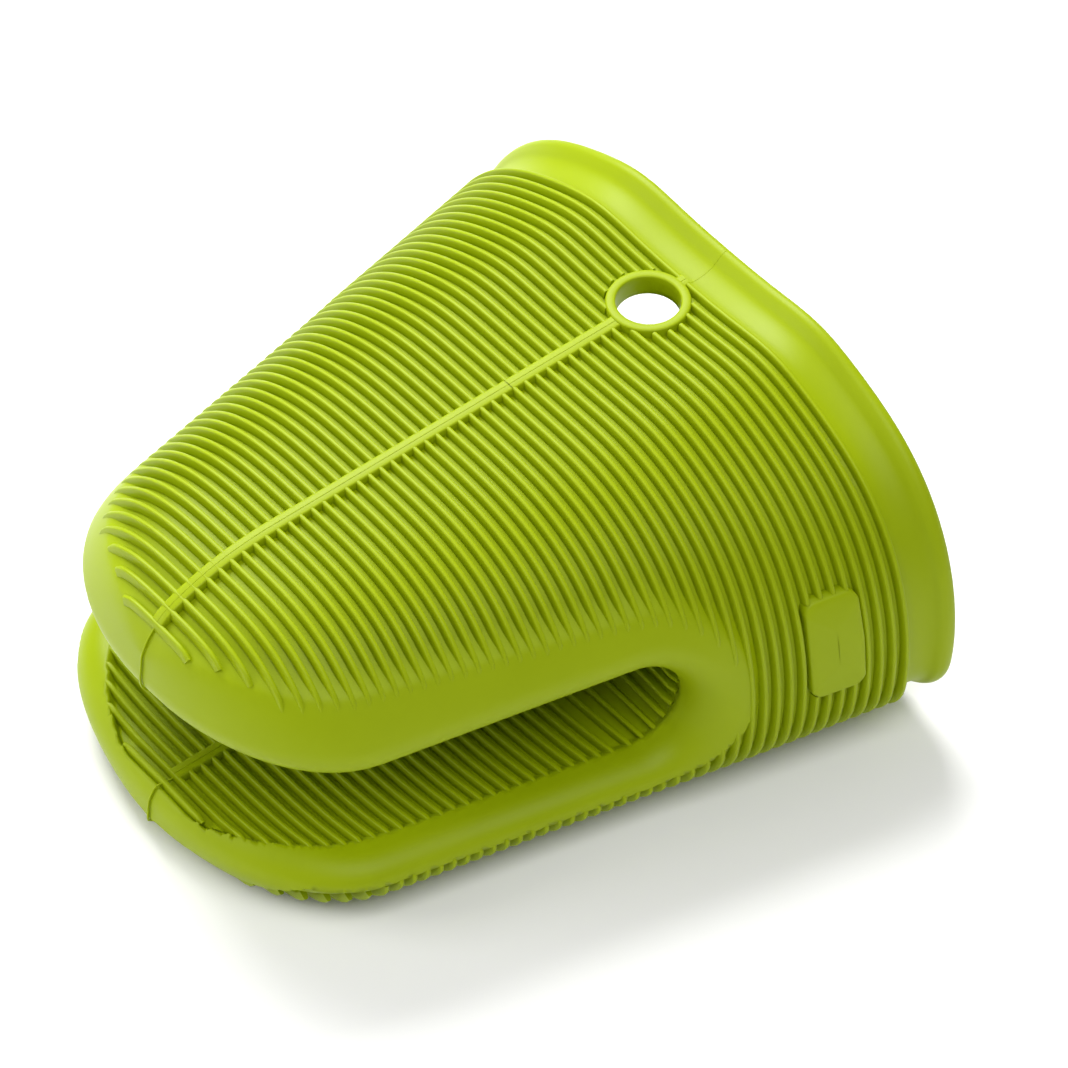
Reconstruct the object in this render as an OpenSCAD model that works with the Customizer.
// Pinch-grip pot mitt: one silicone moulding with a finger pocket above the
// mouth, a thumb pocket below it and a flared cuff behind.
// X runs from the noses to the cuff, Y across the hand, Z up from the table.

/* [Body] */
// Height of the crown above the table beside the cuff, over the ribs
crown_z = 69; // [63:1:74]
// Height of the widest line above the table
waist_z = 19.4; // [18:0.2:21]
// Half width at the nose line, over the ribs
nose_half_w = 43.3; // [38:0.5:48]
// Half width gained for each millimetre towards the cuff
side_taper = 0.241; // [0.18:0.005:0.27]
// Silicone wall between the ribs
wall = 2.4; // [1.8:0.1:2.6]
// Lean of the rib planes towards the cuff, in degrees
lean = 4.65; // [0:0.05:6]

/* [Ribs] */
// Distance from one rib to the next
rib_pitch = 2.7; // [2.5:0.05:2.8]
// Number of ribs between the noses and the cuff
rib_count = 47; // [45:1:47]
// Thickness of a rib
rib_t = 1; // [0.7:0.05:1.2]
// Height of a rib above the wall
rib_h = 1.8; // [1.2:0.1:2]
// Width of the band that runs along the mould parting
band_w = 2.7; // [2:0.1:4]

/* [Mouth] */
// Height of the middle of the mouth
mouth_z = 27.8; // [27:0.1:28.6]
// Clear gap between the gripping ribs
mouth_gap = 22; // [20:0.5:23]
// Place of the centre of the round mouth end
web_u = 73; // [70:0.5:76]
// Length of the part of each jaw that bends
flex_len = 13; // [11:0.5:15]
// Width of the smooth rolled lip round the mouth
lip_r = 8; // [6:0.5:9]

/* [Cuff] */
// Length of the smooth cuff band
cuff_len = 11.4; // [9:0.2:13]
// Height of the rolled cuff lip above the ribs
cuff_flare = 1.2; // [0.8:0.1:2]

/* [Hanging hole] */
// Diameter of the hole
hole_d = 12.8; // [10:0.2:14]
// Width of the raised ring round the hole
ring_w = 2; // [1.5:0.1:2.2]
// Place of the hole along the crown
hole_u = 116.6; // [112:0.2:116.8]

/* [Plate] */
// Place of the middle of the blank plate
plate_u = 111; // [109:0.5:113]
// Height of the middle of the blank plate
plate_z = 33.5; // [32:0.5:37]
// Length of the blank plate along the mitt
plate_l = 11.2; // [10:0.2:13]
// Height of the blank plate
plate_h = 21; // [16:0.5:24]

/* [Hidden] */

lime = [0.62, 0.73, 0.05];
lime_deep = [0.52, 0.63, 0.03];
lime_pale = [0.70, 0.80, 0.16];

side_exp = 3.4;             // squareness of the section across the hand
top_exp = 1.9;              // squareness of the section above the waist
sole_exp = 3.0;             // squareness of the section below the waist
finger_tip_u = -5;          // foremost station of the finger pocket
thumb_tip_u = -2.3;         // foremost station of the thumb pocket
skin = rib_h + wall;        // rib tops to the inside of the wall
seat = 0.25;                // clearance under a rib
x_mid = 70.67;              // half of the overall length, so X = 0 is the middle
flex_u = web_u - flex_len;  // where the stiff part of a jaw ends
heel_end_u = 94;            // where the heel meets the sleeve
step_u = rib_pitch * rib_count - 0.9;
grip_low_z = mouth_z - mouth_gap / 2;    // tops of the thumb's gripping ribs
grip_high_z = mouth_z + mouth_gap / 2;   // tops of the fingers' gripping ribs
cheek_back = 20.5;          // smooth cheek behind the mouth centre
cheek_up = 24;              // smooth cheek above the mouth centre
cheek_down = 16;            // smooth cheek below the mouth centre
plate_gap = 1.5;            // clearance between the plate and the ribs it interrupts
bore_r = hole_d / 2;
ring_r = bore_r + ring_w;

function ease(a, b, v) = let (s = min(1, max(0, (v - a) / (b - a)))) s * s * (3 - 2 * s);
function sgn(v) = v < 0 ? -1 : 1;

// A point at station u, half width y and height z, moved by the lean
function place(u, y, z) = [u + tan(lean) * z - x_mid, y, z];

// Rounding of a nose seen from above: 0 at the tip and 1 from full on
function nose(u, tip) =
    let (full = 21.7)
    u >= full ? 1 : pow(max(0.0001, 1 - pow((full - u) / (full - tip), 2.4)), 1 / 2.4);

function half_w(u, tip) = (nose_half_w + side_taper * min(u, step_u)) * nose(u, tip);

// Height of the crown above the waist
function crown(u) =
    let (full = 27, slope = 0.0192, top = crown_z - waist_z - slope * (step_u - full))
    u >= full ? top + slope * (min(u, step_u) - full)
    : 26.1 + (top - 26.1) * pow(max(0.0001, 1 - pow((full - u) / (full + 5), 2)), 1 / 3);

// Depth of the sole below the waist: lifted at the thumb nose and at the cuff
function drop(u) = waist_z - 5.4 * pow(max(0, 14 - u) / 16.3, 2.5) - cuff_flare * ease(heel_end_u, step_u, u);

// Half width of the section at height z, with the surface moved out by o
function side_y(u, z, o, tip) =
    let (q = z >= waist_z ? pow((z - waist_z) / (crown(u) + o), top_exp)
                          : pow((waist_z - z) / (drop(u) + o), sole_exp))
    (half_w(u, tip) + o) * pow(max(0, 1 - q), 1 / side_exp);

// Angle round the section at height z
function angle_at(u, z, o) =
    z >= waist_z ? asin(min(1, pow((z - waist_z) / (crown(u) + o), top_exp / 2)))
                 : -asin(min(1, pow((waist_z - z) / (drop(u) + o), sole_exp / 2)));

// Angle round the section where the half width is y, above (s = 1) or below (s = -1) the waist
function angle_of_y(u, y, o, s) = s * acos(min(1, pow(y / (half_w(u, -5) + o), side_exp / 2)));

// Point [y, z] of the section at angle t, with the surface moved out by o
function round_pt(u, t, o, tip) =
    [sgn(cos(t)) * (half_w(u, tip) + o) * pow(abs(cos(t)), 2 / side_exp),
     sin(t) >= 0 ? waist_z + (crown(u) + o) * pow(sin(t), 2 / top_exp)
                 : waist_z - (drop(u) + o) * pow(-sin(t), 2 / sole_exp)];

function bend(a, c, b, s) = (1 - s) * (1 - s) * a + 2 * s * (1 - s) * c + s * s * b;

// Where the ribs end and the smooth lip begins, above and below the mouth
function rib_end_up(u) =
    u < web_u ? mouth_z + cheek_up + 0.09 * (web_u - u)
              : mouth_z + cheek_up * sqrt(max(0, 1 - pow((u - web_u) / cheek_back, 2)));
function rib_end_down(u) =
    u < web_u ? mouth_z - cheek_down
              : mouth_z - cheek_down * sqrt(max(0, 1 - pow((u - web_u) / cheek_back, 2)));

// Angles from t0 to t1 for which the points lie evenly along the section, above or below the waist
function spread(t0, t1, n) =
    let (v0 = pow(90 - t0, 2 / 3), v1 = pow(90 - t1, 2 / 3))
    [for (i = [0:n]) 90 - pow(v0 + (v1 - v0) * i / n, 1.5)];

// ---------- lofted skins ----------

function strip(a, b, n) = [for (i = [0:n - 1]) let (j = (i + 1) % n)
    each [[a + i, b + i, b + j], [a + i, b + j, a + j]]];

// Rings joined one after another, with the first and last closed by a flat face
module capped_loft(rings) {
    n = len(rings[0]);
    m = len(rings);
    polyhedron(points = [for (r = rings) each r],
               faces = concat([for (k = [0:m - 2]) each strip(k * n, (k + 1) * n, n)],
                              [[for (i = [0:n - 1]) i]],
                              [[for (i = [n - 1:-1:0]) (m - 1) * n + i]]),
               convexity = 8);
}

// Rings joined one after another and the last back to the first
module looped_loft(rings) {
    n = len(rings[0]);
    m = len(rings);
    polyhedron(points = [for (r = rings) each r],
               faces = [for (k = [0:m - 1]) each strip(k * n, ((k + 1) % m) * n, n)],
               convexity = 8);
}

// Both halves of a section from the list of its points with y > 0
function both_sides(u, half) =
    concat([for (p = half) place(u, p[0], p[1])],
           [for (i = [len(half) - 1:-1:0]) place(u, -half[i][0], half[i][1])]);

pole_t = 89.6;       // the section's first point, just beside the middle line
arc_steps = 10;
corner_steps = 3;

// Finger pocket section, from beside the crown down the side, round the lip and under the palm
function finger_half(u, o, thick) =
    let (tip = finger_tip_u + thick,
         low = grip_high_z + thick,
         width = half_w(u, tip),
         r = min(lip_r, width * 0.45),
         t1 = angle_at(u, low + r, o),
         side = [for (t = spread(pole_t, t1, arc_steps))
                    let (z = round_pt(u, t, o, tip)[1],
                         sunk = thick > 0 ? 0 : rib_h * ease(rib_end_up(u) - 3, rib_end_up(u) + 1, z))
                    round_pt(u, t, o - sunk, tip)],
         a = side[arc_steps],
         b = [a[0] - r, low])
    concat(side,
           [for (i = [1:corner_steps]) bend(a, [a[0], low], b, i / corner_steps)],
           [[b[0] * 0.9, low + rib_h], [b[0] * 0.1, low + rib_h]]);

function thumb_half(u, o, thick) =
    let (tip = thumb_tip_u + thick,
         high = grip_low_z - thick,
         width = half_w(u, tip),
         r = min(lip_r - thick, width * 0.45),
         t1 = angle_at(u, high - r * 0.85, o),
         side = [for (t = spread(pole_t, -t1, arc_steps))
                    let (z = round_pt(u, -t, o, tip)[1],
                         sunk = thick > 0 ? 0 : rib_h * (1 - ease(rib_end_down(u) - 2.5, rib_end_down(u), z)))
                    round_pt(u, -t, o - sunk, tip)],
         a = side[arc_steps],
         b = [a[0] - r, high])
    concat(side,
           [for (i = [1:corner_steps]) bend(a, [a[0], high], b, i / corner_steps)],
           [[b[0] * 0.9, high - rib_h], [b[0] * 0.1, high - rib_h]]);

// Stations from a tip to the end of the stiff jaw, closer together at the tip
function stations(tip, n) = [for (i = [0:n]) tip + 0.15 + (flex_u - tip - 0.15) * pow(i / n, 2)];

jaw_steps = 13;

module finger_pocket() {
    color(lime)
    capped_loft(concat(
        [for (u = stations(finger_tip_u + wall, jaw_steps)) both_sides(u, finger_half(u, -skin, wall))],
        [for (i = [jaw_steps:-1:0]) let (u = stations(finger_tip_u, jaw_steps)[i])
            both_sides(u, finger_half(u, 0, 0))]));
}

module thumb_pocket() {
    color(lime)
    mirror([0, 1, 0])
    capped_loft(concat(
        [for (u = stations(thumb_tip_u + wall, jaw_steps)) both_sides(u, thumb_half(u, -skin, wall))],
        [for (i = [jaw_steps:-1:0]) let (u = stations(thumb_tip_u, jaw_steps)[i])
            both_sides(u, thumb_half(u, 0, 0))]));
}

module finger_flex() {
    us = [flex_u, flex_u + flex_len / 2, web_u];
    color(lime_pale)
    looped_loft(concat([for (u = us) both_sides(u, finger_half(u, -skin, wall))],
                       [for (i = [2:-1:0]) both_sides(us[i], finger_half(us[i], 0, 0))]));
}

module thumb_flex() {
    us = [flex_u, flex_u + flex_len / 2, web_u];
    color(lime_pale)
    mirror([0, 1, 0])
    looped_loft(concat([for (u = us) both_sides(u, thumb_half(u, -skin, wall))],
                       [for (i = [2:-1:0]) both_sides(us[i], thumb_half(us[i], 0, 0))]));
}

// Whole section, all the way round, with the surface moved out by o
function full_ring(u, o) =
    let (up = [for (t = spread(pole_t, 0, ring_steps)) round_pt(u, t, o, finger_tip_u)],
         down = [for (t = spread(pole_t, 0, ring_steps)) round_pt(u, -t, o, finger_tip_u)],
         half = concat(up, [for (i = [ring_steps - 1:-1:0]) down[i]]))
    both_sides(u, half);

ring_steps = 11;

// The web's own axis: the middle of the round mouth end
module at_web() {
    translate(place(web_u, 0, mouth_z)) rotate([90, 0, 0]) children();
}

web_r = mouth_gap / 2 + rib_h;   // mouth side of the web

module heel_shell() {
    us = [web_u, web_u + 5, web_u + 10, web_u + 15, heel_end_u];
    color(lime)
    difference() {
        looped_loft(concat([for (u = us) full_ring(u, -skin)],
                           [for (i = [4:-1:0]) full_ring(us[i], -rib_h)]));
        at_web() cylinder(h = 300, r = web_r + wall, center = true, $fn = 64);
    }
}

// The round wall that closes the mouth between the two pockets
module mouth_web() {
    us = [web_u, web_u + 6, web_u + 12, web_u + 18];
    color(lime_deep)
    intersection() {
        capped_loft([for (u = us) full_ring(u, -0.1)]);
        at_web()
        difference() {
            cylinder(h = 300, r = web_r + wall, center = true, $fn = 64);
            cylinder(h = 302, r = web_r, center = true, $fn = 64);
        }
    }
}

module web_ribs() {
    color(lime_deep)
    at_web()
    for (a = [-50:25:50])
        rotate([0, 0, a])
        translate([web_r - rib_h / 2 - seat, 0, 0])
        cube([rib_h, rib_t, 2 * (side_y(web_u, mouth_z, 0, finger_tip_u) - lip_r)], center = true);
}

// Smooth raised cheek round the mouth end, on one side
module cheek(side) {
    steps = 12;
    across = [0, 0.33, 0.67, 1];
    function edge_pt(s, f, o) =
        let (phi = 90 * s - lean * (1 - f),
             inner = (web_r + wall + seat) * [cos(phi), sin(phi)],
             dz = (s > 0 ? cheek_up : cheek_down) * sin(90 * s),
             outer = [cheek_back * cos(90 * s) + tan(lean) * dz, dz],
             p = inner * (1 - f) + outer * f,
             u = web_u + seat + p[0] - tan(lean) * p[1],
             z = mouth_z + p[1])
        place(u, side * side_y(u, z, o, finger_tip_u), z);
    color(lime)
    capped_loft([for (i = [0:steps])
        let (s = -1 + 2 * i / steps)
        concat([for (f = across) edge_pt(side * s, f, 0)],
               [for (j = [3:-1:0]) edge_pt(side * s, across[j], -rib_h + seat)])]);
}

module near_cheek() { cheek(-1); }
module far_cheek() { cheek(1); }

// The hanging hole's own axis, with its origin level with the rib tops
module at_hole() {
    translate(place(hole_u, 0, waist_z + crown(hole_u))) children();
}

module sleeve_shell() {
    us = [heel_end_u, 102, 110, 118, step_u];
    color(lime)
    difference() {
        looped_loft(concat([for (u = us) full_ring(u, -skin)],
                           [for (i = [4:-1:0]) full_ring(us[i], -rib_h)]));
        at_hole() cylinder(h = 20, r = ring_r, center = true, $fn = 64);
    }
}

// Smooth flared band with its rolled lip
module cuff_band() {
    lip_u = step_u + cuff_len;
    profile = [[step_u, -skin], [step_u + 3, -skin], [step_u + 7.5, -skin + 0.9],
               [lip_u - 1.5, cuff_flare - 2.6], [lip_u - 0.2, cuff_flare - 1.9],
               [lip_u, cuff_flare - 0.9], [lip_u - 0.6, cuff_flare - 0.1], [lip_u - 1.6, cuff_flare],
               [lip_u - 2.6, cuff_flare - 0.5], [step_u + 6.5, -rib_h + 0.8],
               [step_u + 3, -rib_h + 0.1], [step_u, -rib_h]];
    color(lime_pale)
    looped_loft([for (p = profile) full_ring(p[0], p[1])]);
}

// ---------- ribs and bands ----------

function rib_u(k) = (k - 0.5) * rib_pitch;

// A plate standing in the rib plane at station u, drawn from [y, z] points
module plate_at(u, pts) {
    translate([u - x_mid, 0, 0])
    rotate([0, lean, 0])
    rotate([90, 0, 90])
    linear_extrude(height = rib_t, center = true)
    polygon([for (p = pts) [p[0], p[1] / cos(lean)]]);
}

// Outline of a rib that follows the section through the given angles; its foot clears the wall
// at the rib's wider face
function rib_outline(u, ts, tip) =
    concat([for (t = ts) round_pt(u, t, 0, tip)],
           [for (i = [len(ts) - 1:-1:0]) round_pt(u + rib_t / 2, ts[i], -rib_h + seat, tip)]);

// The same on the near side
function near_side(pts) = [for (p = pts) [-p[0], p[1]]];

// Half width at which a rib starts: beside the band, or outside the raised ring
function start_y(u) =
    let (du = max(0, abs(u - hole_u) - rib_t / 2), r = ring_r + seat)
    max(band_w / 2 + seat, du < r ? sqrt(r * r - du * du) : 0);

rib_steps = 13;

// Upper half of rib k on both sides, from the crown to the smooth lip
module upper_rib(k) {
    u = rib_u(k);
    top_t = angle_of_y(u, start_y(u), 0, 1);
    low_t = angle_at(u, rib_end_up(u - rib_t / 2) + rib_h, 0);
    if (low_t < top_t - 6 && rib_end_up(u) + 3 < waist_z + crown(u)) {
        pts = rib_outline(u, spread(top_t, low_t, rib_steps), finger_tip_u);
        plate_at(u, pts);
        plate_at(u, near_side(pts));
    }
}

// Lower half of rib k on both sides, from the smooth lip to the sole
module lower_rib(k, tip) {
    u = rib_u(k);
    top_t = angle_of_y(u, band_w / 2 + seat, 0, 1);
    low_t = -angle_at(u, min(rib_end_down(u - rib_t / 2) - 1.5 * rib_h, waist_z - 1), 0);
    pts = rib_outline(u, [for (t = spread(top_t, low_t, rib_steps)) -t], tip);
    plate_at(u, pts);
    plate_at(u, near_side(pts));
}

// A run of the band along the mould parting, above (s = 1) or below (s = -1)
module band(u0, u1, s, steps) {
    capped_loft([for (i = [0:steps])
        let (u = u0 + (u1 - u0) * i / steps,
             z0 = round_pt(u, s * 90, -rib_h + seat, finger_tip_u)[1],
             z1 = round_pt(u, s * 90, 0, finger_tip_u)[1],
             b = s * band_w / 2)
        [place(u, b, z0), place(u, b, z1), place(u, -b, z1), place(u, -b, z0)]]);
}

// First and last rib of each stretch
last_jaw_rib = floor((flex_u - rib_t) / rib_pitch + 0.5);
last_flex_rib = floor((web_u - rib_t) / rib_pitch + 0.5);
last_heel_rib = floor((heel_end_u - rib_t / 2) / rib_pitch + 0.5);

module finger_ribs() {
    color(lime_pale) for (k = [1:last_jaw_rib]) upper_rib(k);
}

module finger_spine() {
    color(lime_pale) band(1.5, flex_u - seat, 1, 12);
}

module thumb_ribs() {
    color(lime_pale) for (k = [2:last_jaw_rib]) lower_rib(k, thumb_tip_u);
}

module thumb_spine() {
    color(lime_pale) band(1.5, flex_u - seat, -1, 12);
}

// Half length of a gripping rib on the thumb side and on the finger side
function grip_low_half(u) =
    let (r = min(lip_r, half_w(u, thumb_tip_u) * 0.45))
    0.88 * (side_y(u, grip_low_z - r * 0.85, 0, thumb_tip_u) - r) - 0.5;
function grip_high_half(u) =
    let (r = min(lip_r, half_w(u, finger_tip_u) * 0.45))
    0.88 * (side_y(u, grip_high_z + r, 0, finger_tip_u) - r) - 0.5;

module grip_rib(u, half, z0, z1) {
    plate_at(u, [[-half, z0], [half, z0], [half - rib_h, z1], [rib_h - half, z1]]);
}

module thumb_grip_ribs() {
    color(lime_deep)
    for (k = [2:last_jaw_rib])
        grip_rib(rib_u(k), grip_low_half(rib_u(k)), grip_low_z - rib_h + seat, grip_low_z);
}

module finger_grip_ribs() {
    color(lime_deep)
    for (k = [1:last_jaw_rib])
        grip_rib(rib_u(k), grip_high_half(rib_u(k)), grip_high_z + rib_h - seat, grip_high_z);
}

module finger_flex_ribs() {
    color(lime_pale) {
        for (k = [last_jaw_rib + 1:last_flex_rib]) {
            upper_rib(k);
            grip_rib(rib_u(k), grip_high_half(rib_u(k)), grip_high_z + rib_h - seat, grip_high_z);
        }
        band(flex_u, web_u - seat, 1, 3);
    }
}

module thumb_flex_ribs() {
    color(lime_pale) {
        for (k = [last_jaw_rib + 1:last_flex_rib]) {
            lower_rib(k, thumb_tip_u);
            grip_rib(rib_u(k), grip_low_half(rib_u(k)), grip_low_z - rib_h + seat, grip_low_z);
        }
        band(flex_u, web_u - seat, -1, 3);
    }
}

module heel_ribs() {
    color(lime_pale)
    for (k = [last_flex_rib + 1:last_heel_rib]) {
        upper_rib(k);
        lower_rib(k, finger_tip_u);
    }
}

module crown_spine() {
    color(lime_pale) band(web_u, hole_u - ring_r - seat, 1, 8);
}

// The flat underside of the band carries the mitt on the table
module sole_spine() {
    color(lime_pale)
    rotate([90, 0, 0])
    linear_extrude(height = band_w, center = true)
    polygon([for (p = [[web_u, 0], [heel_end_u, 0], [heel_end_u, rib_h - seat], [web_u, rib_h - seat]])
             [p[0] + tan(lean) * p[1] - x_mid, p[1]]]);
}

// Sleeve ribs run the whole way round, and stop at the blank plate on the near side
module sleeve_ribs() {
    color(lime_pale)
    for (k = [last_heel_rib + 1:rib_count - 1]) {
        u = rib_u(k);
        top_t = angle_of_y(u, start_y(u), 0, 1);
        sole_t = angle_of_y(u, band_w / 2 + seat, 0, 1);
        down = [for (t = spread(sole_t, 0, rib_steps)) -t];
        all_round = concat(spread(top_t, 0, rib_steps), [for (i = [rib_steps - 1:-1:0]) down[i]]);
        plate_at(u, rib_outline(u, all_round, finger_tip_u));
        if (abs(u - plate_u) < plate_l / 2 + rib_t / 2 + seat) {
            over_t = angle_at(u, plate_z + plate_h / 2 + plate_gap, 0);
            foot_t = angle_at(u, plate_z - plate_h / 2 - plate_gap, 0);
            plate_at(u, near_side(rib_outline(u, spread(top_t, over_t, rib_steps), finger_tip_u)));
            plate_at(u, near_side(rib_outline(u, concat(down, foot_t > 1 ? [foot_t] : []), finger_tip_u)));
        }
        else
            plate_at(u, near_side(rib_outline(u, all_round, finger_tip_u)));
    }
}

module hanging_ring() {
    color(lime)
    at_hole()
    translate([0, 0, -skin - 0.6])
    difference() {
        cylinder(h = skin + 0.8, r = ring_r, $fn = 64);
        translate([0, 0, -1]) cylinder(h = skin + 3, r = bore_r, $fn = 64);
    }
}

module blank_plate() {
    color(lime)
    capped_loft([for (i = [0:4])
        let (u = plate_u - plate_l / 2 + plate_l * i / 4)
        concat([for (j = [0:6]) let (z = plate_z + plate_h * (j / 6 - 0.5))
                   place(u, -side_y(u, z, 0.2, finger_tip_u), z)],
               [for (j = [6:-1:0]) let (z = plate_z + plate_h * (j / 6 - 0.5))
                   place(u, -side_y(u, z, -rib_h + seat, finger_tip_u), z)])]);
}

finger_pocket();
finger_ribs();
finger_spine();
finger_grip_ribs();
thumb_pocket();
thumb_ribs();
thumb_spine();
thumb_grip_ribs();
finger_flex();
finger_flex_ribs();
thumb_flex();
thumb_flex_ribs();
heel_shell();
heel_ribs();
mouth_web();
web_ribs();
near_cheek();
far_cheek();
sleeve_shell();
sleeve_ribs();
crown_spine();
sole_spine();
hanging_ring();
blank_plate();
cuff_band();
